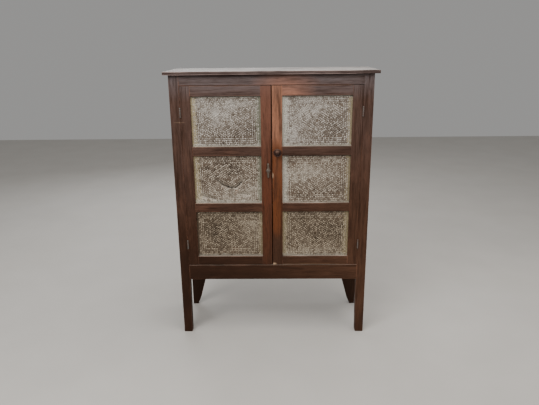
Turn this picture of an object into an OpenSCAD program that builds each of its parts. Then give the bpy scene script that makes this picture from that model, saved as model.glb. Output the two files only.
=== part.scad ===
// Pie safe: a free-standing food cupboard of dark wood. Two doors hold three punched tin
// panels each, and swing on butt hinges. A turn button on the left door holds the right one.
// Millimetres, +Z up, front towards -Y, the floor at Z = 0.

/* [Case] */
// Width across the posts.
case_w = 990; // [830:1:1180]
// Depth from the front of the posts to the back of the rear legs.
case_d = 345; // [290:1:415]
// Height from the floor to the underside of the top board.
case_h = 1392; // [1170:1:1650]
// Height of the open space under the case.
leg_h = 320; // [200:1:385]
// Width of a front post.
post_w = 48; // [40:1:58]
// Depth of a front post.
post_d = 42; // [36:1:52]
// Width of a front post where it meets the floor.
foot_w = 43; // [30:1:48]
// Width of a rear leg board.
rear_w = 88; // [74:1:106]
// Thickness of a rear leg board.
rear_t = 23; // [20:1:28]
// Width of a rear leg where it meets the floor.
rear_foot_w = 30; // [22:1:40]
// Thickness of the rails.
rail_t = 22; // [18:1:27]
// Height of the rail above the doors.
top_rail_h = 50; // [40:1:60]
// Height of the rail below the doors.
bottom_rail_h = 82; // [68:1:100]

/* [Top board] */
// Thickness of the top board.
top_t = 16; // [13:1:24]
// Overhang of the top board at the front.
top_front = 25; // [15:1:32]
// Overhang of the top board at each side.
top_side = 22; // [10:1:40]

/* [Doors] */
// Thickness of the door frames.
door_t = 22; // [20:1:27]
// Gap between a door and its post.
hinge_gap = 1.5; // [1.2:0.1:2.5]
// Gap between the two doors.
seam = 5; // [3:0.5:8]
// Gap above and below the doors.
door_gap = 3; // [2:0.5:5]
// Width of the stile on the hinge side.
hinge_stile_w = 50; // [42:1:60]
// Width of the stile on the meeting side.
meeting_stile_w = 50; // [42:1:60]
// Height of a door's top rail.
door_top_h = 48; // [40:0.5:57]
// Height of a door's two middle rails.
door_mid_h = 45.5; // [38:0.5:55]
// Height of a door's bottom rail.
door_bottom_h = 48; // [40:0.5:58]
// Depth of a tin's face behind the door's face.
tin_recess = 14; // [11:0.5:15]
// Thickness of the tin.
tin_t = 0.6; // [0.5:0.1:1]
// Lap of a tin behind the frame.
tin_lap = 7; // [6:0.5:10]

/* [Hinges] */
// Length of a hinge.
hinge_len = 46; // [38:1:56]
// Outside diameter of a hinge's knuckles.
knuckle_d = 7; // [6:0.5:8]
// Diameter of a hinge's pin.
pin_d = 3.2; // [2.6:0.1:3.8]
// Thickness of a hinge's leaves.
leaf_t = 1.3; // [1.1:0.1:1.6]
// Width of a leaf let into the wood.
leaf_w = 19; // [16:1:21]
// Distance of the upper hinge's middle below the door's top.
hinge_drop = 127; // [100:1:160]
// Distance of the lower hinge's middle above the door's bottom.
hinge_rise = 116; // [90:1:150]

/* [Knob and turn button] */
// Diameter of the knob.
knob_d = 41; // [34:1:50]
// Reach of the knob in front of the door.
knob_reach = 32; // [26:1:39]
// Length of the turn button.
button_len = 75; // [62:1:84]
// Width of the turn button's round middle.
button_hub_d = 23; // [19:1:28]
// Width of the turn button's ends.
button_tip_d = 12; // [10:1:14]
// Thickness of the turn button.
button_t = 10; // [8:1:12]

/* [Shelves] */
// Thickness of the shelves and the floor board.
shelf_t = 16; // [13:1:20]
// Thickness of the back boards.
back_t = 11; // [9:1:14]
// Thickness of the side panels.
panel_t = 10; // [8:1:12]

/* [Hidden] */
$fn = 48;
// Running clearance between a pin, a shank or a head and its hole.
fit = 0.05;
// Space left between faces that pass one another.
clear = 0.4;
// Depth by which a cut runs past the face it opens.
over = 1;
// The case's front face, set so that the whole cupboard is centred on Y = 0.
front = (max(knob_reach, top_front) - case_d) / 2;
back = front + case_d;
rear_front = back - rear_t;
half_w = case_w / 2;
post_in = half_w - post_w;
side_in = half_w - rail_t;

door_out = post_in - hinge_gap;
door_in = seam / 2;
door_z0 = leg_h + bottom_rail_h + door_gap;
door_z1 = case_h - top_rail_h - door_gap;
// Each door holds three tins, one above another.
tins = 3;
rails_h = door_top_h + (tins - 1) * door_mid_h + door_bottom_h;
tin_h = (door_z1 - door_z0 - rails_h) / tins;
tin_x0 = door_in + meeting_stile_w;
tin_x1 = door_out - hinge_stile_w;
tin_w = tin_x1 - tin_x0;
tin_front = front + tin_recess;
rabbet_clear = 0.5;

// Mortise and tenon joints.
door_tenon = [28, 7, 4];
case_tenon = [26, 8, 6];
side_tenon = [20, 8, 8];
rear_tenon_l = 12;
groove = 6;
taper_top = 300;
rear_ankle = [48, 42];
rear_taper_h = 190;

// Back boards, cleats and shelves.
cleat_w = 20;
cleat_h = 24;
cleat_house = 8;
cleat_out = side_in - 1;
back_boards = 4;
board_gap = 1;
back_half = cleat_out - cleat_w - board_gap;
back_front = rear_front - back_t;
board_w = (2 * back_half - (back_boards - 1) * board_gap) / back_boards;
shelf_front = front + door_t + 8;
shelf_side = cleat_out;
notch_gap = 0.5;
// The shelves stand level with the doors' middle rails, to the nearest whole millimetre.
lower_shelf_top = round(door_z0 + door_bottom_h + tin_h + (door_mid_h + shelf_t) / 2);
upper_shelf_top = round(lower_shelf_top + tin_h + door_mid_h);
floor_top = leg_h + bottom_rail_h;

// Hinges, with their pins' axes just in front of the wood.
knuckles = 5;
knuckle_gap = 0.3;
pin_x = post_in - hinge_gap / 2;
pin_y = front - knuckle_d / 2 - 0.3;
hinge_z = [door_z0 + hinge_rise, door_z1 - hinge_drop];
hinge_screw = [3.4, 6.6, 1.2, 14];
screw_in = leaf_w * 0.55;
screw_up = hinge_len * 0.3;

// Nails and tacks: shank diameter, head diameter, head thickness, length.
top_nail = [3, 7, 1.2, 44];
tack = [1.5, 5, 0.7, 9];
nail_x = [for (i = [-2:2]) i * (half_w - post_w / 2) / 2];
front_nail_y = front + rail_t / 2;
rear_nail_y = back - rear_t / 2;

// The knob on the right door and the turn button on the left one.
knob_x = door_in + meeting_stile_w * 0.52;
knob_z = upper_shelf_top - shelf_t / 2 - 6;
knob_screw = [4.4, 8.4, 2.4, 44];
button_x = -door_in - 16;
button_z = knob_z - 94;
button_screw = [4.4, 9, 2.6, 18];

wood = [0.20, 0.13, 0.09];
bare = [0.45, 0.33, 0.21];
tin = [0.48, 0.46, 0.40];
iron = [0.16, 0.15, 0.14];

// Everything that comes in a pair is written for the right-hand side, s = 1. The left-hand
// one, s = -1, is its mirror image.
module side(s) {
    if (s > 0) children();
    else mirror([1, 0, 0]) children();
}

// A box from one corner to the other.
module box(a, b) {
    translate(a) cube(b - a);
}

// A nail or screw along +Z with its head's top at Z = 0 and its shank below.
module nail(n, c = 0) {
    translate([0, 0, -n[3] - c]) cylinder(d = n[0] + 2 * c, h = n[3] + c);
    translate([0, 0, -n[2] - c]) cylinder(d = n[1] + 2 * c, h = n[2] + c);
}

// A flat-head wood screw along +Z with its head's top at Z = 0.
module flat_screw(n, c = 0) {
    translate([0, 0, -n[3] - c]) cylinder(d = n[0] + 2 * c, h = n[3] + c);
    translate([0, 0, -n[2]]) cylinder(d1 = n[0] + 2 * c, d2 = n[1] + 2 * c, h = n[2]);
}

/* ---- the case ---- */

module top_nails_at(c = 0) {
    for (x = nail_x, y = [front_nail_y, rear_nail_y])
        translate([x, y, case_h + top_t]) nail(top_nail, c);
}

module top_board() {
    color(wood) difference() {
        box([-half_w - top_side, front - top_front, case_h],
            [half_w + top_side, back, case_h + top_t]);
        top_nails_at(fit);
    }
}

module top_nails() {
    color(iron) top_nails_at();
}

// The tenon at the outer end of a rail that runs along X.
module rail_tenon(x, y, z0, z1, t) {
    box([x - over, y - t[1] / 2, z0 + t[2]], [x + t[0], y + t[1] / 2, z1 - t[2]]);
}

module front_rail_tenons(z0, z1) {
    rail_tenon(post_in, front + rail_t / 2, z0, z1, case_tenon);
}

// A side rail's tenons run into the front post and the rear leg.
module side_rail_tenons(z0, z1) {
    y = (half_w + side_in) / 2;
    box([y - side_tenon[1] / 2, front + post_d - side_tenon[0], z0 + side_tenon[2]],
        [y + side_tenon[1] / 2, rear_front + rear_tenon_l, z1 - side_tenon[2]]);
}

module panel_box(grow = 0) {
    mid = (half_w + side_in) / 2;
    box([mid - panel_t / 2, front + post_d - groove, floor_top - groove],
        [mid + panel_t / 2, rear_front + groove, case_h - top_rail_h + groove]);
}

module cleat_boxes(tops) {
    for (z = tops)
        box([cleat_out - cleat_w, front + post_d - cleat_house, z - shelf_t - cleat_h],
            [cleat_out, rear_front + cleat_house, z - shelf_t]);
}

module hinge_screws_at(towards, c = 0) {
    x = (towards > 0) ? post_in : door_out;
    for (z = hinge_z, k = [-1, 1])
        translate([x, front + screw_in, z + k * screw_up]) rotate([0, -90 * towards, 0])
            flat_screw(hinge_screw, c);
}

// The pocket that a hinge leaf is let into.
module leaf_pockets(x0, x1) {
    for (z = hinge_z)
        box([x0, front - over, z - hinge_len / 2], [x1, front + leaf_w, z + hinge_len / 2]);
}

module front_post(s) {
    color(wood) side(s) difference() {
        translate([0, front + post_d, 0]) rotate([90, 0, 0]) linear_extrude(post_d)
            polygon([[half_w, 0], [half_w, case_h], [post_in, case_h], [post_in, taper_top],
                [half_w - foot_w, 0]]);
        front_rail_tenons(leg_h, floor_top);
        front_rail_tenons(case_h - top_rail_h, case_h);
        side_rail_tenons(leg_h, floor_top);
        side_rail_tenons(case_h - top_rail_h, case_h);
        panel_box();
        cleat_boxes([floor_top, lower_shelf_top, upper_shelf_top]);
        leaf_pockets(post_in - over, post_in + leaf_t);
        hinge_screws_at(1, fit);
        top_nails_at(fit);
    }
}
module front_post_left() { front_post(-1); }
module front_post_right() { front_post(1); }

// The rear leg is a wide board, sawn to a narrow foot below the case.
module rear_leg(s) {
    color(wood) side(s) difference() {
        translate([0, back, 0]) rotate([90, 0, 0]) linear_extrude(rear_t)
            polygon([[half_w, 0], [half_w, case_h], [half_w - rear_w, case_h],
                [half_w - rear_w, rear_taper_h], [half_w - rear_ankle[0], rear_ankle[1]],
                [half_w - rear_foot_w, 0]]);
        back_rail_tenons(leg_h, floor_top);
        back_rail_tenons(case_h - top_rail_h, case_h);
        side_rail_tenons(leg_h, floor_top);
        side_rail_tenons(case_h - top_rail_h, case_h);
        panel_box();
        cleat_boxes([floor_top, lower_shelf_top, upper_shelf_top]);
        top_nails_at(fit);
    }
}
module rear_leg_left() { rear_leg(-1); }
module rear_leg_right() { rear_leg(1); }

module back_rail_tenons(z0, z1) {
    rail_tenon(half_w - rear_w, back - rear_t / 2, z0, z1, case_tenon);
}

module front_rail(z0, z1) {
    color(wood) difference() {
        union() {
            box([-post_in, front, z0], [post_in, front + rail_t, z1]);
            for (s = [-1, 1]) side(s) front_rail_tenons(z0, z1);
        }
        top_nails_at(fit);
    }
}
module front_top_rail() { front_rail(case_h - top_rail_h, case_h); }
module front_bottom_rail() { front_rail(leg_h, floor_top); }

module back_rail(z0, z1) {
    x = half_w - rear_w;
    color(bare) difference() {
        union() {
            box([-x, rear_front, z0], [x, back, z1]);
            for (s = [-1, 1]) side(s) back_rail_tenons(z0, z1);
        }
        top_nails_at(fit);
    }
}
module back_top_rail() { back_rail(case_h - top_rail_h, case_h); }
module back_bottom_rail() { back_rail(leg_h, floor_top); }

module side_rail(s, z0, z1) {
    color(wood) side(s) difference() {
        union() {
            box([side_in, front + post_d, z0], [half_w, rear_front, z1]);
            side_rail_tenons(z0, z1);
        }
        panel_box();
    }
}
module side_top_rail_left() { side_rail(-1, case_h - top_rail_h, case_h); }
module side_top_rail_right() { side_rail(1, case_h - top_rail_h, case_h); }
module side_bottom_rail_left() { side_rail(-1, leg_h, floor_top); }
module side_bottom_rail_right() { side_rail(1, leg_h, floor_top); }

module side_panel_left() { color(wood) side(-1) panel_box(); }
module side_panel_right() { color(wood) side(1) panel_box(); }

module back_board(i) {
    x = -back_half + i * (board_w + board_gap);
    color(bare) box([x, back_front, leg_h], [x + board_w, rear_front, case_h]);
}
module back_board_1() { back_board(0); }
module back_board_2() { back_board(1); }
module back_board_3() { back_board(2); }
module back_board_4() { back_board(3); }

// A shelf fits round the front posts and rests on its two cleats.
module shelf(top, y0) {
    color(bare) difference() {
        box([-shelf_side, y0, top - shelf_t], [shelf_side, back_front - notch_gap, top]);
        for (s = [-1, 1]) side(s)
            box([post_in - notch_gap, y0 - over, top - shelf_t - over],
                [half_w, front + post_d + notch_gap, top + over]);
    }
}
module floor_board() { shelf(floor_top, front + rail_t); }
module lower_shelf() { shelf(lower_shelf_top, shelf_front); }
module upper_shelf() { shelf(upper_shelf_top, shelf_front); }

module cleats(tops) {
    color(bare) for (s = [-1, 1]) side(s) cleat_boxes(tops);
}
module floor_cleats() { cleats([floor_top]); }
module shelf_cleats() { cleats([lower_shelf_top, upper_shelf_top]); }

/* ---- the doors ---- */

// The height of the underside of tin i, counted from the bottom.
function tin_z(i) = door_z0 + door_bottom_h + i * (tin_h + door_mid_h);

// The rabbets cut in the back of the frame, one for each tin.
module rabbets() {
    r = tin_lap + rabbet_clear;
    for (i = [0:tins - 1])
        box([tin_x0 - r, tin_front, tin_z(i) - r],
            [tin_x1 + r, front + door_t + over, tin_z(i) + tin_h + r]);
}

// The tacks round tin i, driven from the back of the door.
module tacks_at(i, c = 0) {
    e = tin_lap / 2;
    at = concat([for (k = [-1, 0, 1], z = [-e, tin_h + e]) [k * (tin_w / 2 - 30), z]],
        [for (k = [0.25, 0.75], x = [-1, 1]) [x * (tin_w / 2 + e), k * tin_h]]);
    for (p = at)
        translate([(tin_x0 + tin_x1) / 2 + p[0], tin_front + tin_t + tack[2], tin_z(i) + p[1]])
            rotate([-90, 0, 0]) nail(tack, c);
}

module all_tacks(c = 0) {
    for (i = [0:tins - 1]) tacks_at(i, c);
}

module door_tenons(z0, z1) {
    y = front + tin_recess / 2 + 0.5;
    box([tin_x0 - door_tenon[0], y - door_tenon[1] / 2, z0 + door_tenon[2]],
        [tin_x1 + door_tenon[0], y + door_tenon[1] / 2, z1 - door_tenon[2]]);
}

function rail_z(i) = (i == 0) ? [door_z0, tin_z(0)]
    : (i == tins) ? [tin_z(tins - 1) + tin_h, door_z1] : [tin_z(i - 1) + tin_h, tin_z(i)];

module all_door_tenons() {
    for (i = [0:tins]) door_tenons(rail_z(i)[0], rail_z(i)[1]);
}

module hinge_stile(s) {
    color(wood) side(s) difference() {
        box([tin_x1, front, door_z0], [door_out, front + door_t, door_z1]);
        all_door_tenons();
        rabbets();
        all_tacks(fit);
        leaf_pockets(door_out - leaf_t, door_out + over);
        hinge_screws_at(-1, fit);
    }
}
module left_hinge_stile() { hinge_stile(-1); }
module right_hinge_stile() { hinge_stile(1); }

module meeting_stile(s) {
    color(wood) difference() {
        side(s) difference() {
            box([door_in, front, door_z0], [tin_x0, front + door_t, door_z1]);
            all_door_tenons();
            rabbets();
            all_tacks(fit);
        }
        if (s > 0) knob_screw_at(fit);
        else button_screw_at(fit);
    }
}
module left_meeting_stile() { meeting_stile(-1); }
module right_meeting_stile() { meeting_stile(1); }

module door_rail(s, i) {
    z = rail_z(i);
    color(wood) side(s) difference() {
        union() {
            box([tin_x0, front, z[0]], [tin_x1, front + door_t, z[1]]);
            door_tenons(z[0], z[1]);
        }
        rabbets();
        all_tacks(fit);
        if (s > 0) knob_screw_at(fit);
    }
}
module left_top_rail() { door_rail(-1, 3); }
module left_upper_rail() { door_rail(-1, 2); }
module left_lower_rail() { door_rail(-1, 1); }
module left_bottom_rail() { door_rail(-1, 0); }
module right_top_rail() { door_rail(1, 3); }
module right_upper_rail() { door_rail(1, 2); }
module right_lower_rail() { door_rail(1, 1); }
module right_bottom_rail() { door_rail(1, 0); }

module tin_sheet(s, i) {
    color(tin) side(s) difference() {
        box([tin_x0 - tin_lap, tin_front, tin_z(i) - tin_lap],
            [tin_x1 + tin_lap, tin_front + tin_t, tin_z(i) + tin_h + tin_lap]);
        tacks_at(i, fit);
    }
}
module left_tin_top() { tin_sheet(-1, 2); }
module left_tin_middle() { tin_sheet(-1, 1); }
module left_tin_bottom() { tin_sheet(-1, 0); }
module right_tin_top() { tin_sheet(1, 2); }
module right_tin_middle() { tin_sheet(1, 1); }
module right_tin_bottom() { tin_sheet(1, 0); }

module left_tin_tacks() { color(iron) side(-1) all_tacks(); }
module right_tin_tacks() { color(iron) side(1) all_tacks(); }

/* ---- the hinges ---- */

// Knuckle k of a hinge, as a z range about the hinge's middle.
function knuckle_z(k) = [(k / knuckles - 0.5) * hinge_len + knuckle_gap / 2,
    ((k + 1) / knuckles - 0.5) * hinge_len - knuckle_gap / 2];

// A leaf is a plate let into the wood, with every second knuckle bent round the pin.
module leaf(x0, first) {
    difference() {
        union() {
            box([x0, front, -hinge_len / 2], [x0 + leaf_t, front + leaf_w, hinge_len / 2]);
            for (k = [first:2:knuckles - 1]) {
                z = knuckle_z(k);
                translate([pin_x, pin_y, z[0]]) cylinder(d = knuckle_d, h = z[1] - z[0]);
                box([x0, pin_y, z[0]], [x0 + leaf_t, front + over, z[1]]);
            }
        }
        translate([pin_x, pin_y, -hinge_len]) cylinder(d = pin_d + 2 * fit, h = 2 * hinge_len);
    }
}

module leaves(s, x0, first, towards) {
    color(iron) side(s) difference() {
        for (z = hinge_z) translate([0, 0, z]) leaf(x0, first);
        hinge_screws_at(towards, fit);
    }
}
module left_case_leaves() { leaves(-1, post_in, 0, 1); }
module right_case_leaves() { leaves(1, post_in, 0, 1); }
module left_door_leaves() { leaves(-1, door_out - leaf_t, 1, -1); }
module right_door_leaves() { leaves(1, door_out - leaf_t, 1, -1); }

module hinge_pins(s) {
    color(iron) side(s) for (z = hinge_z) translate([pin_x, pin_y, z]) {
        translate([0, 0, -hinge_len / 2]) cylinder(d = pin_d, h = hinge_len);
        translate([0, 0, hinge_len / 2]) cylinder(d = knuckle_d * 0.8, h = 1.5);
    }
}
module left_hinge_pins() { hinge_pins(-1); }
module right_hinge_pins() { hinge_pins(1); }

module case_hinge_screws() {
    color(iron) for (s = [-1, 1]) side(s) hinge_screws_at(1);
}
module left_door_hinge_screws() { color(iron) side(-1) hinge_screws_at(-1); }
module right_door_hinge_screws() { color(iron) side(1) hinge_screws_at(-1); }

/* ---- the knob and the turn button ---- */

// The knob's screw comes through the stile from inside the door.
module knob_screw_at(c = 0) {
    translate([knob_x, front + door_t, knob_z]) rotate([-90, 0, 0]) flat_screw(knob_screw, c);
}

module knob_screw() { color(iron) knob_screw_at(); }

// The knob is turned: a foot, a neck, a flat head with a raised rim, a groove and a dome.
module knob() {
    r = knob_d / 2;
    h = knob_reach;
    color(wood) difference() {
        translate([knob_x, front, knob_z]) rotate([90, 0, 0]) rotate_extrude($fn = 64)
            polygon([[0, 0], [r * 0.62, 0], [r * 0.62, h * 0.09], [r * 0.5, h * 0.16],
                [r * 0.42, h * 0.3], [r * 0.46, h * 0.42], [r * 0.8, h * 0.52],
                [r * 0.96, h * 0.6], [r, h * 0.68], [r, h * 0.76], [r * 0.94, h * 0.84],
                [r * 0.84, h * 0.87], [r * 0.74, h * 0.83], [r * 0.68, h * 0.8],
                [r * 0.64, h * 0.85], [r * 0.5, h * 0.94], [r * 0.3, h * 0.985], [0, h]]);
        knob_screw_at(fit);
    }
}

module button_screw_at(c = 0) {
    reach = clear + button_t + clear + button_screw[2];
    translate([button_x, front - reach, button_z]) rotate([90, 0, 0])
        nail([button_screw[0], button_screw[1], button_screw[2], button_screw[3] + reach], c);
}

module turn_button_screw() { color(iron) button_screw_at(); }

// The turn button stands upright, clear of both doors' seam. A quarter turn either way puts
// one of its ends across the right door.
module turn_button() {
    arm = button_len / 2 - button_tip_d / 2;
    color(iron) translate([button_x, front - clear, button_z]) rotate([90, 0, 0])
        difference() {
            union() {
                cylinder(d = button_hub_d, h = button_t);
                for (k = [-1, 1]) translate([0, k * arm, 0])
                    cylinder(d = button_tip_d, h = button_t * 0.8);
                linear_extrude(button_t * 0.8)
                    polygon([[-button_tip_d / 2, -arm], [button_tip_d / 2, -arm],
                        [button_hub_d * 0.42, 0], [button_tip_d / 2, arm],
                        [-button_tip_d / 2, arm], [-button_hub_d * 0.42, 0]]);
            }
            translate([0, 0, -over]) cylinder(d = button_screw[0] + 2 * fit, h = button_t + 2);
        }
}

/* ---- what is drawn ---- */

top_board();
top_nails();
front_post_left();
front_post_right();
rear_leg_left();
rear_leg_right();
front_top_rail();
front_bottom_rail();
side_top_rail_left();
side_top_rail_right();
side_bottom_rail_left();
side_bottom_rail_right();
side_panel_left();
side_panel_right();
back_top_rail();
back_bottom_rail();
back_board_1();
back_board_2();
back_board_3();
back_board_4();
floor_board();
floor_cleats();
lower_shelf();
upper_shelf();
shelf_cleats();
left_hinge_stile();
left_meeting_stile();
left_top_rail();
left_upper_rail();
left_lower_rail();
left_bottom_rail();
left_tin_top();
left_tin_middle();
left_tin_bottom();
left_tin_tacks();
right_hinge_stile();
right_meeting_stile();
right_top_rail();
right_upper_rail();
right_lower_rail();
right_bottom_rail();
right_tin_top();
right_tin_middle();
right_tin_bottom();
right_tin_tacks();
left_case_leaves();
left_door_leaves();
right_case_leaves();
right_door_leaves();
left_hinge_pins();
right_hinge_pins();
case_hinge_screws();
left_door_hinge_screws();
right_door_hinge_screws();
knob();
knob_screw();
turn_button();
turn_button_screw();
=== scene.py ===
import math
import bpy
import bmesh
from mathutils import Matrix, Vector, noise


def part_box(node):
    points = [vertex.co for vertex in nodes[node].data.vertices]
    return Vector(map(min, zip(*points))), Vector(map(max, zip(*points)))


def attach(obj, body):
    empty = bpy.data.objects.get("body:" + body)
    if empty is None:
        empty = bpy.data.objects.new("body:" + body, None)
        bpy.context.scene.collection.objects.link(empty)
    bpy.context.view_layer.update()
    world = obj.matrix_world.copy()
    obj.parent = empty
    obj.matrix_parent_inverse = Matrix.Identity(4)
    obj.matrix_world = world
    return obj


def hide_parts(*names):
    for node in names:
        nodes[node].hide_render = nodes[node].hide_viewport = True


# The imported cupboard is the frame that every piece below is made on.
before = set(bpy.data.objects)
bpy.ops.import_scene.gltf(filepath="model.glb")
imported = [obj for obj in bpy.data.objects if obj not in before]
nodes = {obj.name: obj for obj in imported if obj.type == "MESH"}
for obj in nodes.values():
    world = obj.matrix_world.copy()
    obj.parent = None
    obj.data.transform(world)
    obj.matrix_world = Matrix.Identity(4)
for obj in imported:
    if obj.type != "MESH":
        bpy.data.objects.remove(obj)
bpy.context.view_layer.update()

# ---- The room ----
# A plain pale floor under the cupboard, soft studio light, and a camera standing two and a
# half metres in front of the doors, a little above them, looking down.
CAMERA_AT = (0.0272, -2.6608, 1.5270)
CAMERA_TURN = math.radians(-0.943)
CAMERA_DOWN = math.radians(17.208)
CAMERA_ROLL = math.radians(-0.619)
CAMERA_LENS = 34.076

def put_in(name, data):
    """An object for a mesh, camera or light, in the scene at the origin."""
    made = bpy.data.objects.new(name, data)
    bpy.context.collection.objects.link(made)
    return made

look = Vector((math.sin(CAMERA_TURN) * math.cos(CAMERA_DOWN),
               math.cos(CAMERA_TURN) * math.cos(CAMERA_DOWN), -math.sin(CAMERA_DOWN)))
level = Vector((math.cos(CAMERA_TURN), -math.sin(CAMERA_TURN), 0))
upright = level.cross(look)
across = level * math.cos(CAMERA_ROLL) + upright * math.sin(CAMERA_ROLL)
upward = upright * math.cos(CAMERA_ROLL) - level * math.sin(CAMERA_ROLL)
camera = put_in("camera", bpy.data.cameras.new("camera"))
camera.data.lens = CAMERA_LENS
camera.data.sensor_width = 36
camera.data.clip_end = 60
camera.matrix_world = Matrix.Translation(CAMERA_AT) @ Matrix(
    (across, upward, -look)).transposed().to_4x4()
bpy.context.scene.camera = camera

def soft_light(name, at, aim, size, watts, tint):
    """One softbox at a point, turned to face another."""
    lamp = bpy.data.lights.new(name, "AREA")
    lamp.shape = "RECTANGLE"
    lamp.size, lamp.size_y = size
    lamp.energy = watts
    lamp.color = tint
    stand = put_in(name, lamp)
    stand.location = at
    stand.rotation_euler = (Vector(aim) - Vector(at)).to_track_quat("-Z", "Y").to_euler()

soft_light("window", (-1.6, -2.6, 3.2), (0, 0, 0.9), (2.2, 1.6), 95, (1.0, 0.98, 0.95))
soft_light("ceiling", (0.5, -0.4, 3.4), (0, 0, 1.0), (3.0, 2.0), 75, (1.0, 0.97, 0.93))
soft_light("fill", (2.4, -2.4, 1.6), (0, 0, 0.8), (2.0, 2.0), 22, (1.0, 0.93, 0.86))
soft_light("behind", (-1.2, 3.0, 2.4), (0, 0, 0.8), (2.5, 2.0), 40, (0.95, 0.97, 1.0))

def wire(tree, kind, inputs=(), **settings):
    """One shader or geometry node, its settings, and what each of its sockets takes."""
    made = tree.nodes.new(kind)
    for key, value in settings.items():
        setattr(made, key, value)
    for key, value in dict(inputs).items():
        socket = made.inputs[key]
        if isinstance(value, bpy.types.NodeSocket):
            tree.links.new(value, socket)
        else:
            socket.default_value = value
    return made

def node(tree, kind, inputs=(), out=0, **settings):
    """The output of one new node."""
    return wire(tree, kind, inputs, **settings).outputs[out]

def cloudy(tree, place, scale, detail=2.0, rough=0.5, bend=0.0, lot=None):
    """Fractal noise at a place, from another part of it for each value of lot."""
    inputs = {"Vector": place, "Scale": scale, "Detail": detail, "Roughness": rough,
              "Distortion": bend}
    if lot is None:
        return node(tree, "ShaderNodeTexNoise", inputs)
    return node(tree, "ShaderNodeTexNoise", {**inputs, "W": lot}, noise_dimensions="4D")

def finish_named(name):
    """An empty procedural material: its tree, its shader and its Object coordinates."""
    made = bpy.data.materials.new(name)
    made.use_nodes = True
    tree = made.node_tree
    shader = tree.nodes["Principled BSDF"]
    place = node(tree, "ShaderNodeTexCoord", (), "Object")
    return made, tree, shader, place

world = bpy.data.worlds.new("room")
world.use_nodes = True
sky = world.node_tree.nodes["Background"].inputs
sky["Color"].default_value = (0.93, 0.92, 0.90, 1)
sky["Strength"].default_value = 0.34
bpy.context.scene.world = world

floor_mesh = bpy.data.meshes.new("floor")
floor_mesh.from_pydata([(-6, -5, 0), (6, -5, 0), (6, 6, 0), (-6, 6, 0)], [], [(0, 1, 2, 3)])
floor = put_in("floor", floor_mesh)
plaster, tree, shader, place = finish_named("pale_floor")
tone = wire(tree, "ShaderNodeValToRGB", {"Fac": cloudy(tree, place, 3.0, 4.0)})
tone.color_ramp.elements[0].color = (0.50, 0.48, 0.45, 1)
tone.color_ramp.elements[1].color = (0.58, 0.56, 0.53, 1)
tree.links.new(tone.outputs["Color"], shader.inputs["Base Color"])
shader.inputs["Roughness"].default_value = 0.75
floor_mesh.materials.append(plaster)

# ---- The timber frame ----
# Posts, legs, rails, stiles and side panels of old pine, sawn square, joined by mortise and
# tenon, and stained dark brown. A century of hands and cleaning has rounded every edge and
# rubbed the stain through to orange wood beside the knob. Light and shade are also painted
# on: a painted sheen greys the high parts, painted shade darkens the low parts and the rear
# legs, a painted shadow lies under the top board, and a painted floor bounce warms the low
# right.
EDGE_ROUND = 0.0011
EDGE_WAVE = 0.00035
WAVES_PER_METRE = 23
WAVE_SEED = 7
SHORTEST_WORN_EDGE = 0.03
NARROWEST_WORN = 0.001
ON_THE_BOX = 0.0001
PLANK_STEP = 0.618
SAME_POINT = 0.00002
FLAT = math.radians(0.5)
SQUARE_CORNER = math.radians(40)
GRAIN_ACROSS, GRAIN_ALONG, FIGURE_ALONG = 26.0, 1.7, 6.0
PORES_ACROSS, PORES_ALONG = 900.0, 24.0
RINGS_IN_FIGURE = 17.0

def smoothed(mesh, crease):
    """Shades a mesh smooth, but for edges sharper than an angle in degrees."""
    for face in mesh.polygons:
        face.use_smooth = True
    mesh.set_sharp_from_angle(angle=math.radians(crease))

def set_down(name, shape):
    """A mesh object at the origin from a finished bmesh."""
    mesh = bpy.data.meshes.new(name)
    shape.to_mesh(mesh)
    shape.free()
    return put_in(name, mesh)

def box_and_grain(name):
    """A CAD board's box, and the axis that it is longest along."""
    low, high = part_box(name)
    return low, high, max(range(3), key=lambda k: high[k] - low[k])

def in_order(shape, rubbed):
    """The same board, with its corners and faces always listed in the same order."""
    corners = sorted(shape.verts, key=lambda v: v.co[:])
    number = {v: k for k, v in enumerate(corners)}
    outlines = []
    for face in shape.faces:
        ring = [number[v] for v in face.verts]
        first = ring.index(min(ring))
        outlines.append((ring[first:] + ring[:first], face[rubbed]))
    again = bmesh.new()
    listed = [again.verts.new(v.co) for v in corners]
    rubbed_again = again.faces.layers.float.new("edge")
    for ring, rub in sorted(outlines):
        again.faces.new([listed[k] for k in ring])[rubbed_again] = rub
    shape.free()
    return again

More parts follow.
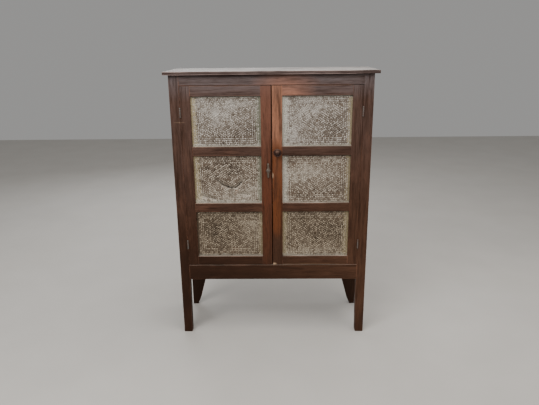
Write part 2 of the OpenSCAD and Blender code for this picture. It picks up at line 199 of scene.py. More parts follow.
def worn_timber(name, round_by=EDGE_ROUND, wave=EDGE_WAVE, step=0.03):
    """A copy of a CAD board with its long edges rounded and made slightly uneven."""
    low, high, along = box_and_grain(name)
    noise.seed_set(WAVE_SEED)
    shape = bmesh.new()
    shape.from_mesh(nodes[name].data)
    bmesh.ops.remove_doubles(shape, verts=shape.verts, dist=SAME_POINT)
    shape.verts.sort(key=lambda v: v.co.z)
    shape.edges.sort(key=lambda e: e.calc_length())
    bmesh.ops.dissolve_limit(shape, angle_limit=FLAT, verts=shape.verts, edges=shape.edges)
    shape.normal_update()
    long_edges = [
        e for e in shape.edges if len(e.link_faces) == 2 and e.is_convex
        and e.calc_length() > SHORTEST_WORN_EDGE and e.calc_face_angle(0) > SQUARE_CORNER
        and min(f.calc_area() for f in e.link_faces) > e.calc_length() * NARROWEST_WORN]
    rubbed = shape.faces.layers.float.new("edge")
    rounding = bmesh.ops.bevel(shape, geom=long_edges, offset=round_by, segments=2,
                               profile=0.6, affect="EDGES", clamp_overlap=True)
    for face in rounding["faces"]:
        face[rubbed] = 1
    cuts = int((high[along] - low[along]) / step)
    for k in range(1, cuts):
        at, facing = Vector((0, 0, 0)), Vector((0, 0, 0))
        at[along] = low[along] + (high[along] - low[along]) * k / cuts
        facing[along] = 1
        bmesh.ops.bisect_plane(shape, geom=shape.verts[:] + shape.edges[:] + shape.faces[:],
                               plane_co=at, plane_no=facing, dist=SAME_POINT / 2)
    crosswise = [k for k in range(3) if k != along]
    for v in shape.verts:
        shift = noise.noise_vector(v.co * WAVES_PER_METRE) * wave
        shift[along] = 0
        if all(min(v.co[k] - low[k], high[k] - v.co[k]) < round_by + ON_THE_BOX
               for k in crosswise):
            v.co += shift
        for k in range(3):
            v.co[k] = min(max(v.co[k], low[k]), high[k])
    piece = set_down(name + "_worn", in_order(shape, rubbed))
    mesh = piece.data
    plank = mesh.attributes.new("plank", "FLOAT", "POINT")
    own = list(nodes).index(name) * PLANK_STEP % 1
    plank.data.foreach_set("value", [own] * len(mesh.vertices))
    smoothed(mesh, 38)
    return piece

def maths(tree, a, b, how="MULTIPLY"):
    """The product of two values, or what another operation makes of them."""
    return node(tree, "ShaderNodeMath", {0: a, 1: b}, operation=how)

def vectors(tree, a, b, how, out=0):
    """What one operation makes of two vectors."""
    return node(tree, "ShaderNodeVectorMath", {0: a, 1: b}, out, operation=how)

def blob(tree, place, centre, reach, soft):
    """How far inside an ellipsoid a point is: 1 well within it, 0 outside."""
    near = vectors(tree, vectors(tree, place, centre, "SUBTRACT"), reach, "DIVIDE")
    span = node(tree, "ShaderNodeVectorMath", {0: near}, "Value", operation="LENGTH")
    return node(tree, "ShaderNodeMapRange", {"Value": span, "From Min": 1 + soft,
                "From Max": 1 - soft})

def mix(tree, amount, under, over):
    """One colour laid over another by some amount."""
    made = tree.nodes.new("ShaderNodeMix")
    made.data_type = "RGBA"
    made.clamp_factor = True
    for socket, value in ((made.inputs[0], amount), (made.inputs[6], under),
                          (made.inputs[7], over)):
        if isinstance(value, bpy.types.NodeSocket):
            tree.links.new(value, socket)
        else:
            socket.default_value = value if isinstance(value, float) else (*value, 1)
    return made.outputs[2]

def toned(colour, by, most=1.0):
    """A colour made darker or lighter, and no lighter than the most."""
    return [min(most, c * by) for c in colour]

def steps(tree, value, *stops):
    """A ramp from a value to greys or colours: stops are (place, colour)."""
    made = wire(tree, "ShaderNodeValToRGB", {"Fac": value})
    ramp = made.color_ramp
    while len(ramp.elements) < len(stops):
        ramp.elements.new(0.5)
    for element, (at, colour) in zip(ramp.elements, stops):
        element.position = at
        grey = isinstance(colour, (int, float))
        element.color = (colour,) * 3 + (1,) if grey else (*colour, 1)
    return made.outputs["Color"]

def stretched(tree, place, across, lengthwise, along):
    """A place scaled by one measure across the grain and by another along it."""
    scale = [across] * 3
    scale[along] = lengthwise
    return node(tree, "ShaderNodeMapping", {"Vector": place, "Scale": scale})

def roughened(tree, shader, height, strength, depth):
    """Bump on a shader from a height."""
    bump = node(tree, "ShaderNodeBump", {"Height": height, "Strength": strength,
                "Distance": depth})
    tree.links.new(bump, shader.inputs["Normal"])

def timber(name, along, dark, light, patches=(), dust_and_top_light=0.35, sheen=0.46, ring=1.0,
           dust_and_top_light_tint=(0.46, 0.40, 0.34), blotchy=0.6):
    """Stained wood grained along one axis, with patches of wear and of painted light and
    shade, and upward faces paler with dust and a painted top light.
    """
    made, tree, shader, place = finish_named(name)
    fibre_place = stretched(tree, place, GRAIN_ACROSS, GRAIN_ALONG, along)
    plank = node(tree, "ShaderNodeAttribute", (), "Fac", attribute_name="plank")
    lot = maths(tree, plank, 9.0)
    fibre = cloudy(tree, fibre_place, 3.6, 7.0, 0.62, 0.35, lot)
    figure = cloudy(tree, fibre_place, 0.55, 2.0, 0.5, 1.2, lot)
    rings = maths(tree, figure, RINGS_IN_FIGURE * ring)
    rings = steps(tree, maths(tree, rings, 0.0, "FRACT"), (0.0, 0.0), (0.7, 0.55),
                  (0.93, 1.0), (1.0, 0.0))
    cloud = cloudy(tree, place, 4.2, 5.0, 0.6)
    pores = cloudy(tree, stretched(tree, place, PORES_ACROSS, PORES_ALONG, along), 1.0)
    pores = steps(tree, pores, (0.36, 1.0), (0.46, 0.0))
    streak = steps(tree, fibre, (0.34, 0.0), (0.66, 1.0))
    colour = mix(tree, streak, dark, light)
    colour = mix(tree, maths(tree, rings, 0.38), colour, toned(dark, 0.45))
    colour = mix(tree, steps(tree, cloud, (0.38, 0.75), (0.62, 0.0)), colour,
                 toned(dark, 0.62))
    blotch = stretched(tree, place, GRAIN_ACROSS, FIGURE_ALONG, along)
    blotch = cloudy(tree, blotch, 1.4, 5.0, 0.62, 0.0, lot)
    colour = mix(tree, steps(tree, blotch, (0.36, blotchy), (0.50, 0.0)), colour,
                 toned(dark, 0.5))
    colour = mix(tree, steps(tree, blotch, (0.54, 0.0), (0.68, blotchy)), colour,
                 toned(light, 1.5))
    colour = mix(tree, steps(tree, plank, (0.0, 0.30), (1.0, 0.0)), colour,
                 toned(dark, 0.6))
    # The patches are of two kinds: rubbed wear and chips, and painted light and shade laid
    # on the same way.
    for centre, reach, tint, strength, soft in patches:
        uneven = steps(tree, fibre, (0.30, 0.35), (0.62, 1.0))
        rubbed = maths(tree, blob(tree, place, centre, reach, soft), uneven)
        colour = mix(tree, maths(tree, rubbed, strength), colour, tint)
    colour = mix(tree, steps(tree, fibre, (0.34, 0.5), (0.50, 0.0)), colour,
                 toned(dark, 0.4))
    colour = mix(tree, maths(tree, pores, 0.55), colour, toned(dark, 0.3))
    edge = node(tree, "ShaderNodeAttribute", (), "Fac", attribute_name="edge")
    edge = maths(tree, edge, steps(tree, cloud, (0.42, 0.0), (0.60, 0.75)))
    colour = mix(tree, edge, colour, toned(light, 3.2, 0.5))
    nicks = node(tree, "ShaderNodeTexVoronoi", {"Vector": place, "Scale": 30.0})
    nicks = steps(tree, nicks, (0.035, 1.0), (0.06, 0.0))
    colour = mix(tree, maths(tree, nicks, 0.5), colour, toned(dark, 0.2))
    # Upward faces paler: dust, and a painted light falling on them from above.
    facing = node(tree, "ShaderNodeNewGeometry", (), "Normal")
    top = steps(tree, node(tree, "ShaderNodeSeparateXYZ", {0: facing}, "Z"),
                (0.55, 0.0), (0.85, 1.0))
    top = maths(tree, top, steps(tree, cloud, (0.30, 0.55), (0.60, 1.0)))
    top = maths(tree, top, steps(tree, fibre, (0.38, 0.45), (0.62, 1.0)))
    colour = mix(tree, maths(tree, top, dust_and_top_light), colour, dust_and_top_light_tint)
    tree.links.new(colour, shader.inputs["Base Color"])
    rough = maths(tree, maths(tree, streak, 0.10), sheen, "ADD")
    rough = maths(tree, maths(tree, cloud, 0.25), rough, "ADD")
    tree.links.new(rough, shader.inputs["Roughness"])
    height = maths(tree, maths(tree, fibre, 0.5), maths(tree, rings, 0.25), "ADD")
    height = maths(tree, height, maths(tree, pores, 0.4), "SUBTRACT")
    height = maths(tree, height, maths(tree, nicks, 0.8), "SUBTRACT")
    roughened(tree, shader, height, 0.35, 0.0012)
    shader.inputs["Specular IOR Level"].default_value = 0.25
    shader.inputs["Specular Tint"].default_value = (1.0, 0.74, 0.60, 1)
    return made

BROWN = (0.036, 0.0135, 0.0065)
BROWN_LIGHT = (0.092, 0.041, 0.025)
SHEEN_GREY_BROWN = (0.100, 0.060, 0.050)
TOP_SHEEN_GREY = (0.160, 0.136, 0.142)
RED_BROWN = (0.125, 0.036, 0.016)
ORANGE = (0.350, 0.155, 0.090)
LOW_ORANGE = (0.150, 0.045, 0.015)
PALE_ORANGE = (0.360, 0.165, 0.110)
BOUNCE_WARM = (0.092, 0.042, 0.024)
SHADE_BLACK = (0.010, 0.0045, 0.003)
BARE_CHIP = (0.55, 0.38, 0.25)
PALE_RED = (0.190, 0.085, 0.058)
LOW_SHADE_BROWN = (0.018, 0.006, 0.0025)

seam_low, seam_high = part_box("right_meeting_stile")
seam_x = seam_low.x
case_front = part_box("front_top_rail")[0].y
door_top = seam_high.z
door_bottom = seam_low.z

# Painted sheen: the high parts, and the top rail more so, made greyer as if lit by a sheen
# from above.
painted_high_sheen = ((0, case_front, door_top + 0.10), (1.2, 0.6, 0.60), SHEEN_GREY_BROWN, 0.75, 0.45)
painted_top_sheen = ((0, case_front, door_top + 0.10), (1.2, 0.6, 0.125), TOP_SHEEN_GREY, 0.85, 0.45)
# Painted shade: the low left of the frame and its legs darkened, as in the shade under the
# case.
painted_low_shade = ((-0.42, case_front, door_bottom - 0.30), (0.66, 0.6, 0.42), LOW_SHADE_BROWN, 0.85, 0.45)
# Painted floor bounce: a warmer, lighter tint low on the right, as light thrown up from the
# floor.
painted_floor_bounce = ((0.42, case_front, 0.42), (0.52, 0.6, 0.46), BOUNCE_WARM, 0.75, 0.45)
# Painted shadow: a thin black band just under the top board's overhang.
painted_shadow_under_top = ((0, case_front, door_top + 0.051), (0.60, 0.03, 0.009), SHADE_BLACK, 0.75, 0.6)
# Painted shade: the rear legs and the low back darkened almost to black.
painted_rear_leg_shade = ((0, 0.20, 0.10), (0.70, 0.12, 0.34), SHADE_BLACK, 0.85, 0.35)
pale_left = ((-0.028, case_front, 1.24), (0.055, 0.026, 0.22), PALE_RED, 0.7, 0.5)
centre_red = ((-0.03, case_front, 0.95), (0.055, 0.026, 0.46), RED_BROWN, 0.85, 0.45)
rubbed_low = ((seam_x + 0.02, case_front, 0.82), (0.070, 0.026, 0.245), LOW_ORANGE, 0.95,
              0.12)
rubbed_high = ((seam_x + 0.02, case_front, 1.28), (0.070, 0.026, 0.36), ORANGE, 0.95, 0.35)
rubbed_rail = ((seam_x + 0.060, case_front, door_top - 0.035), (0.105, 0.026, 0.060),
               PALE_ORANGE, 0.90, 0.55)
rubbed_case = ((seam_x + 0.065, case_front, door_top + 0.012), (0.11, 0.026, 0.034),
               PALE_ORANGE, 0.70, 0.60)
chip = ((seam_x + 0.0015, case_front, 0.894), (0.0035, 0.006, 0.013), BARE_CHIP, 0.95, 0.35)
corner_chip = ((seam_x + 0.004, case_front, door_bottom + 0.003), (0.012, 0.008, 0.007),
               BARE_CHIP, 0.85, 0.5)
bottom_rub = ((seam_x + 0.02, case_front, door_bottom), (0.30, 0.010, 0.0035), BARE_CHIP,
              0.45, 0.6)
scratch = ((-0.452, case_front, 1.165), (0.022, 0.010, 0.0016), BARE_CHIP, 0.35, 0.5)

# The painted light and shade laid on every frame finish: sheen, floor bounce, shade and
# shadow.
painted_light_and_shade = (painted_high_sheen, painted_top_sheen, painted_floor_bounce, painted_low_shade, painted_shadow_under_top, painted_rear_leg_shade)
front_finish = {
    "upright": timber("stained_uprights", 2, BROWN, BROWN_LIGHT, (*painted_light_and_shade, scratch)),
    "level": timber("stained_rails", 0, BROWN, BROWN_LIGHT, painted_light_and_shade, dust_and_top_light=0.8),
    "deep": timber("stained_side_rails", 1, BROWN, BROWN_LIGHT, painted_light_and_shade),
    "left_meeting": timber("rubbed_left_stile", 2, BROWN, BROWN_LIGHT,
                           (*painted_light_and_shade, centre_red, pale_left)),
    "right_meeting": timber("rubbed_right_stile", 2, BROWN, BROWN_LIGHT,
                            (*painted_light_and_shade, rubbed_high, rubbed_low, chip, corner_chip),
                            sheen=0.36),
    "right_top": timber("rubbed_rail", 0, BROWN, BROWN_LIGHT, (*painted_light_and_shade, rubbed_rail),
                        dust_and_top_light=0.8, sheen=0.38),
    "case_top": timber("rubbed_case_rail", 0, BROWN, BROWN_LIGHT, (*painted_light_and_shade, rubbed_case),
                       dust_and_top_light=0.8),
    "right_bottom": timber("rubbed_bottom_rail", 0, BROWN, BROWN_LIGHT,
                           (*painted_light_and_shade, bottom_rub), dust_and_top_light=0.8),
}
finish_of = {
    "left_meeting_stile": "left_meeting", "right_meeting_stile": "right_meeting",
    "right_top_rail": "right_top", "front_top_rail": "case_top",
    "right_bottom_rail": "right_bottom",
}
for body, names in (
        ("case", ("front_post_left", "front_post_right", "rear_leg_left", "rear_leg_right",
                  "front_top_rail", "front_bottom_rail", "side_top_rail_left",
                  "side_top_rail_right", "side_bottom_rail_left",
                  "side_bottom_rail_right", "side_panel_left", "side_panel_right")),
        ("left_door", ("left_hinge_stile", "left_meeting_stile", "left_top_rail",
                       "left_upper_rail", "left_lower_rail", "left_bottom_rail")),
        ("right_door", ("right_hinge_stile", "right_meeting_stile", "right_top_rail",
                        "right_upper_rail", "right_lower_rail", "right_bottom_rail"))):
    for name in names:
        piece = worn_timber(name)
        key = finish_of.get(name, ("level", "deep", "upright")[box_and_grain(name)[2]])
        piece.data.materials.append(front_finish[key])
        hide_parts(name)
        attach(piece, body)

# ---- The top board ----
# One wide pine board nailed down over the frame. Its upward face is a streaky pale grey,
# partly stain weathered where things stood and dust lay, partly a painted highlight of the
# light from above; its edges are still brown.
top_finish = timber("weathered_top_with_painted_light", 0, (0.070, 0.046, 0.042), (0.130, 0.098, 0.092),
                    dust_and_top_light=1.0, dust_and_top_light_tint=(0.40, 0.39, 0.38))
top_piece = worn_timber("top_board", round_by=0.0022, wave=0.0008)
top_piece.data.materials.append(top_finish)
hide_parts("top_board")
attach(top_piece, "case")

# ---- The boards inside ----
# Back boards and their rails, the floor, two shelves, and the cleats that they rest on, all
# of plain sawn pine that was never stained, brown with age and marked by jars.
BARE = (0.120, 0.068, 0.034)
BARE_LIGHT = (0.235, 0.150, 0.085)
SPILL = (0.055, 0.030, 0.016)
spills = (((-0.22, 0, 1.02), (0.09, 0.07, 0.03), SPILL, 0.6, 0.3),
          ((0.15, 0, 0.73), (0.12, 0.09, 0.03), SPILL, 0.6, 0.3),
          ((0.30, 0, 0.40), (0.08, 0.07, 0.03), SPILL, 0.7, 0.3))
bare_finish = [timber("bare_" + word, axis, BARE, BARE_LIGHT, spills, dust_and_top_light=0.25,
                      dust_and_top_light_tint=(0.34, 0.27, 0.20), ring=1.3, blotchy=0.25)
               for axis, word in enumerate(("level", "deep", "upright"))]
for name in ("back_top_rail", "back_bottom_rail", "back_board_1", "back_board_2",
             "back_board_3", "back_board_4", "floor_board", "floor_cleats", "lower_shelf",
             "upper_shelf", "shelf_cleats"):
    piece = worn_timber(name, round_by=0.0008)
    along = 1 if "cleats" in name else box_and_grain(name)[2]
    piece.data.materials.append(bare_finish[along])
    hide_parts(name)
    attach(piece, "case")

# ---- The punched tins ----
# Six sheets of tinplate in rabbets behind the frame, punched from behind with rows of
# small holes: four borders round nested lozenges, each hole with a raised burr. The sheets
# are oxidised and stained, a little buckled, with paint left along their edges.
LAP = 0.007
BORDER_MARGIN = (0.013, 0.009)
ROW_PITCH = 0.0098
BORDER_ROWS = 4
HOLE_SPACING = 0.0086
HOLE_RADIUS = 0.0017
NEAREST_HOLES = 0.0062
PUNCH_MISS = 0.0005
OUTLINE_POINTS = 96
FOLD_REACH = 0.020
HELD_FLAT, FREE_TO_BUCKLE = 0.008, 0.030
BUCKLE = 0.006
SEEN_HALF = (0.1715, 0.1245)
SHADOW_FROM, SHADOW_TO = 0.116, 0.1215
CRUMPLE_DEPTH = 0.009
SLIGHT_DEPTH = 0.0015

def edge_mesh(name, rows):
    """Runs of points joined in order, gathered in one mesh object."""
    points, edges = [], []
    for row in rows:
        edges += [(len(points) + k, len(points) + k + 1) for k in range(len(row) - 1)]
        points += row
    mesh = bpy.data.meshes.new(name)
    mesh.from_pydata(points, edges, [])
    return put_in(name, mesh)

def punch_rows(half_w, half_h):
    """The rows that the holes are punched along, round the middle of the sheet."""
    rows = []
    for k in range(BORDER_ROWS):
        x = half_w - BORDER_MARGIN[0] - k * ROW_PITCH
        y = half_h - BORDER_MARGIN[1] - k * ROW_PITCH
        rows.append([(-x, -y, 0), (x, -y, 0), (x, y, 0), (-x, y, 0), (-x, -y, 0)])
    x, y = x - ROW_PITCH, y - ROW_PITCH
    slope = y / x
    rise = ROW_PITCH * math.hypot(1, slope)
    for k in range(1, int(2 * y / rise)):
        reach = k * rise
        near, far = max(0, (reach - y) / slope), min(x, reach / slope)
        for sx in (-1, 1):
            for sy in (-1, 1):
                rows.append([(sx * u, sy * (reach - slope * u), 0) for u in (near, far)])
    return rows

def turned(name, profile, sides):
    """A ring turned about Z from (radius, height) pairs that close on themselves."""
    shape = bmesh.new()
    n = len(profile)
    ring = [[shape.verts.new((r * math.cos(a), r * math.sin(a), h)) for r, h in profile]
            for a in (2 * math.pi * k / sides for k in range(sides))]
    for k in range(sides):
        for i in range(n):
            j = (i + 1) % n
            there = ring[(k + 1) % sides]
            shape.faces.new((ring[k][i], there[i], there[j], ring[k][j]))
    bmesh.ops.recalc_face_normals(shape, faces=shape.faces)
    return set_down(name, shape)

burr = turned("burr", [(0.0045, -0.0002), (0.0037, 0.0003), (0.0030, 0.0009),
                       (0.0023, 0.0013), (0.0018, 0.0011), (0.0015, -0.0002)], 8)
burr.data.attributes.new("tip", "FLOAT", "POINT").data.foreach_set(
    "value", [float(v.co.z > 0.0005) for v in burr.data.vertices])

def new_tree(name, sockets):
    """An empty geometry tree with its named inputs, and its input and output nodes."""
    made = bpy.data.node_groups.new(name, "GeometryNodeTree")
    for label, kind in sockets:
        made.interface.new_socket(label, in_out="INPUT", socket_type="NodeSocket" + kind)
    made.interface.new_socket("Geometry", in_out="OUTPUT", socket_type="NodeSocketGeometry")
    return made, wire(made, "NodeGroupInput"), wire(made, "NodeGroupOutput")

def grown(tree, source, name, values):
    """What a geometry tree makes of a mesh object, as a plain mesh object of its own."""
    growth = source.modifiers.new("growth", "NODES")
    growth.node_group = tree
    for item in tree.interface.items_tree:
        if item.in_out == "INPUT" and item.name in values:
            growth[item.identifier] = values[item.name]
    bpy.context.view_layer.update()
    ready = source.evaluated_get(bpy.context.evaluated_depsgraph_get())
    mesh = bpy.data.meshes.new_from_object(ready)
    mesh.name = name
    source.modifiers.remove(growth)
    bpy.data.objects.remove(source)
    return put_in(name, mesh)

def joined(tree, *parts):
    """Several geometries as one, in the order given."""
    made = tree.nodes.new("GeometryNodeJoinGeometry")
    for part in reversed(parts):
        tree.links.new(part, made.inputs[0])
    return made.outputs[0]

tree, asked, given = new_tree("punched_tin", (
    ("Rows", "Geometry"), ("Width", "Float"), ("Height", "Float"), ("Thickness", "Float"),
    ("Spacing", "Float"), ("Hole radius", "Float"), ("Burr", "Object"),
    ("Creases", "Object"), ("Crease depth", "Float"), ("Buckle", "Float"),
    ("Seed", "Int"), ("Tin", "Material")))
want = asked.outputs
row_curves = node(tree, "GeometryNodeMeshToCurve", {"Mesh": want["Rows"]})
dots = node(tree, "GeometryNodeCurveToPoints",
            {"Curve": row_curves, "Length": want["Spacing"]}, mode="LENGTH")
dots = node(tree, "GeometryNodeMergeByDistance", {"Geometry": dots,
            "Distance": NEAREST_HOLES})
stray = node(tree, "FunctionNodeRandomValue", {0: (-PUNCH_MISS, -PUNCH_MISS, 0),
             1: (PUNCH_MISS, PUNCH_MISS, 0), 8: want["Seed"]}, data_type="FLOAT_VECTOR")
dots = node(tree, "GeometryNodeSetPosition", {"Geometry": dots, "Offset": stray})
luck = node(tree, "FunctionNodeRandomValue", {2: 0.0, 3: 1.0, 8: want["Seed"]}, 1,
            data_type="FLOAT")
dots = node(tree, "GeometryNodeStoreNamedAttribute", {"Geometry": dots, "Name": "luck",
            "Value": luck}, data_type="FLOAT", domain="POINT")
circle = node(tree, "GeometryNodeCurvePrimitiveCircle", {"Resolution": 8,
              "Radius": want["Hole radius"]})
holes = node(tree, "GeometryNodeInstanceOnPoints", {"Points": dots, "Instance": circle})
holes = node(tree, "GeometryNodeRealizeInstances", {"Geometry": holes})
outline = node(tree, "GeometryNodeCurvePrimitiveQuadrilateral",
               {"Width": want["Width"], "Height": want["Height"]})
outline = node(tree, "GeometryNodeResampleCurve", {"Curve": outline,
               "Count": OUTLINE_POINTS})
front = node(tree, "GeometryNodeFillCurve", {"Curve": joined(tree, outline, holes)})
deep = node(tree, "ShaderNodeCombineXYZ", {"Z": maths(tree, want["Thickness"], -1.0)})
back = node(tree, "GeometryNodeTransform", {"Geometry": front, "Translation": deep})
lift = node(tree, "ShaderNodeCombineXYZ", {"Z": want["Thickness"]})
walls = node(tree, "GeometryNodeExtrudeMesh", {"Mesh": back, "Offset": lift,
             "Individual": False})
plate = joined(tree, walls, node(tree, "GeometryNodeFlipFaces", {"Mesh": back}))
plate = node(tree, "GeometryNodeMergeByDistance", {"Geometry": plate, "Distance": 1e-5})
turn = node(tree, "FunctionNodeRandomValue", {0: (0, 0, 0), 1: (0, 0, 6.28),
            8: want["Seed"]}, data_type="FLOAT_VECTOR")
grade = node(tree, "FunctionNodeRandomValue", {2: 0.86, 3: 1.1, 8: want["Seed"]}, 1,
             data_type="FLOAT")
burrs = node(tree, "GeometryNodeObjectInfo", {"Object": want["Burr"]}, "Geometry")
burrs = node(tree, "GeometryNodeInstanceOnPoints", {"Points": dots, "Instance": burrs,
             "Rotation": turn, "Scale": grade})
burrs = node(tree, "GeometryNodeRealizeInstances", {"Geometry": burrs})
burrs = node(tree, "GeometryNodeStoreNamedAttribute", {"Geometry": burrs, "Name": "burr",
             "Value": 1.0}, data_type="FLOAT", domain="POINT")
sheet = joined(tree, plate, burrs)
place = node(tree, "GeometryNodeInputPosition")
flat = node(tree, "ShaderNodeVectorMath", {0: place, 1: (1, 1, 0)}, operation="MULTIPLY")
swell = cloudy(tree, flat, 15.0, 2.5, lot=maths(tree, want["Seed"], 3.7))
swell = maths(tree, maths(tree, swell, 0.5, "SUBTRACT"), want["Buckle"])
folds = node(tree, "GeometryNodeObjectInfo", {"Object": want["Creases"]}, "Geometry")
fold = node(tree, "GeometryNodeProximity", {0: folds, "Sample Position": flat}, "Distance",
            target_element="EDGES")
fold = node(tree, "ShaderNodeMapRange", {"Value": fold, "From Max": FOLD_REACH,
            "To Min": 1.0, "To Max": 0.0}, interpolation_type="SMOOTHERSTEP")
push = maths(tree, swell, maths(tree, fold, want["Crease depth"]), "SUBTRACT")
sides = wire(tree, "ShaderNodeSeparateXYZ", {0: flat})
for axis, extent in (("X", "Width"), ("Y", "Height")):
    inset = maths(tree, maths(tree, want[extent], 0.5),
                  maths(tree, sides.outputs[axis], 0.0, "ABSOLUTE"), "SUBTRACT")
    held = node(tree, "ShaderNodeMapRange", {"Value": inset, "From Min": HELD_FLAT,
                "From Max": FREE_TO_BUCKLE}, interpolation_type="SMOOTHSTEP")
    push = maths(tree, push, held)
push = node(tree, "ShaderNodeCombineXYZ", {"Z": push})
sheet = node(tree, "GeometryNodeSetPosition", {"Geometry": sheet, "Offset": push})
sheet = node(tree, "GeometryNodeRealizeInstances", {"Geometry": sheet})
sheet = node(tree, "GeometryNodeSetMaterial", {"Geometry": sheet, "Material": want["Tin"]})
tree.links.new(sheet, given.inputs[0])
punched_tin = tree

OXIDE = (0.47, 0.44, 0.40)
TIN_GREY = (0.165, 0.128, 0.098)
TIN_BROWN = (0.075, 0.050, 0.034)
CREAM = (0.56, 0.47, 0.28)
CHALK = (0.62, 0.61, 0.53)
VERDIGRIS = (0.27, 0.29, 0.21)
RUST = (0.22, 0.085, 0.035)

def near_fold(tree, here, start, stop):
    """How far a point of a sheet is from one straight fold in it."""
    run = Vector((stop[0] - start[0], 0, stop[1] - start[1]))
    off = vectors(tree, here, (start[0], 0, start[1]), "SUBTRACT")
    off = vectors(tree, off, (1, 0, 1), "MULTIPLY")
    along = vectors(tree, off, run / run.length_squared, "DOT_PRODUCT", "Value")
    along = node(tree, "ShaderNodeMapRange", {"Value": along})
    foot = node(tree, "ShaderNodeVectorMath", {0: run, "Scale": along}, operation="SCALE")
    off = vectors(tree, off, foot, "SUBTRACT")
    return node(tree, "ShaderNodeVectorMath", {0: off}, "Value", operation="LENGTH")

def tinplate(name, centre, tints, level, bright, dull, edges, rust, folds):
    """Old tinplate: white oxide, grey metal, brown stain and edge paint, with painted shade
    on the burrs, paint and a painted highlight on their tips, and a painted shadow along
    the top.
    """
    made, tree, shader, place = finish_named(name)
    here = vectors(tree, place, centre, "SUBTRACT")
    broad = cloudy(tree, place, 11.0, 3.0, 0.55, 0.4)
    patchy = cloudy(tree, place, 48.0, 6.0, 0.7)
    grain = cloudy(tree, place, 210.0, 4.0, 0.7)
    state = maths(tree, maths(tree, broad, 0.30), maths(tree, patchy, 0.36), "ADD")
    state = maths(tree, state, maths(tree, grain, 0.34), "ADD")
    state = maths(tree, state, level, "ADD")
    for (spot, reach), gain in ((bright, 0.085), (dull, -0.075)):
        state = maths(tree, state, maths(tree, blob(tree, here, spot, reach, 0.7), gain),
                      "ADD")
    dark, mid, pale = tints
    colour = steps(tree, state, (0.41, dark), (0.49, mid), (0.57, mid), (0.67, pale))
    spots = cloudy(tree, place, 26.0, 5.0, 0.5, 0.8)
    spots = maths(tree, steps(tree, spots, (0.56, 0.0), (0.66, 1.0)),
                  blob(tree, here, *rust, 0.6))
    colour = mix(tree, maths(tree, spots, 0.8), colour, RUST)
    warped = node(tree, "ShaderNodeTexNoise", {"Vector": place, "Scale": 90.0}, "Color")
    warped = vectors(tree, warped, (-0.5, -0.5, -0.5), "ADD")
    warped = node(tree, "ShaderNodeVectorMath", {0: warped, "Scale": 0.012},
                  operation="SCALE")
    warped = vectors(tree, here, warped, "ADD")
    cracks = []
    for fold in folds:
        deep = 0.9 if fold is folds[0] else 0.45
        for start, stop in zip(fold, fold[1:]):
            off = near_fold(tree, warped, start, stop)
            rubbed = node(tree, "ShaderNodeMapRange", {"Value": off, "From Min": 0.002,
                          "From Max": 0.012, "To Min": 0.5, "To Max": 0.0})
            colour = mix(tree, rubbed, colour, pale)
            cracks.append(node(tree, "ShaderNodeMapRange", {
                "Value": off, "From Min": 0.0020, "From Max": 0.0058, "To Min": deep,
                "To Max": 0.0}))
    parts = wire(tree, "ShaderNodeSeparateXYZ", {0: here})
    ragged = maths(tree, maths(tree, patchy, 0.5, "SUBTRACT"), 0.05)
    for axis, sign, half, wide, tint, strength in edges:
        off = maths(tree, maths(tree, parts.outputs[axis], float(sign)), ragged, "ADD")
        off = node(tree, "ShaderNodeMapRange", {"Value": off, "From Min": half - wide,
                   "From Max": half - wide * 0.55})
        off = maths(tree, off, steps(tree, grain, (0.35, 0.55), (0.6, 1.0)))
        colour = mix(tree, maths(tree, off, strength), colour, tint)
    burr = node(tree, "ShaderNodeAttribute", {}, "Fac", attribute_name="burr")
    tip = node(tree, "ShaderNodeAttribute", {}, "Fac", attribute_name="tip")
    luck = node(tree, "ShaderNodeAttribute", {}, "Fac", attribute_name="luck")
    # Painted shade on each burr's flank round its hole, darker than the sheet.
    burr_shade = maths(tree, burr, maths(tree, 1.0, tip, "SUBTRACT"))
    colour = mix(tree, maths(tree, burr_shade, 0.92), colour, toned(dark, 0.28))
    # The burr tips made paler, brighter on some at random: paint left on them and a painted
    # highlight.
    tip_paint_and_highlight = maths(tree, tip, steps(tree, luck, (0.0, 0.18), (0.75, 1.0)))
    colour = mix(tree, maths(tree, tip_paint_and_highlight, 0.80), colour, toned(pale, 1.9, 0.9))
    for crack in cracks:
        colour = mix(tree, crack, colour, toned(dark, 0.4))
    shade = node(tree, "ShaderNodeMapRange", {"Value": parts.outputs["Z"],
                 "From Min": SHADOW_FROM, "From Max": SHADOW_TO})
    colour = mix(tree, maths(tree, shade, 0.75), colour, toned(dark, 0.4))
    tree.links.new(colour, shader.inputs["Base Color"])
    tree.links.new(steps(tree, state, (0.42, 0.6), (0.62, 0.2)),
                   shader.inputs["Metallic"])
    tree.links.new(steps(tree, patchy, (0.3, 0.38), (0.7, 0.66)),
                   shader.inputs["Roughness"])
    height = maths(tree, maths(tree, patchy, 0.7), maths(tree, grain, 0.4), "ADD")
    roughened(tree, shader, height, 0.5, 0.0018)
    return made

def edge_tints(left, right, over, under):
    """The paint left along each edge, as (tint, strength, width) where there is some."""
    reach = [(axis, sign, SEEN_HALF["XZ".index(axis)])
             for axis, sign in (("X", -1), ("X", 1), ("Z", 1), ("Z", -1))]
    return [(axis, sign, half, wide, tint, strength) for (axis, sign, half),
            (tint, strength, wide) in zip(reach, (left, right, over, under)) if strength]

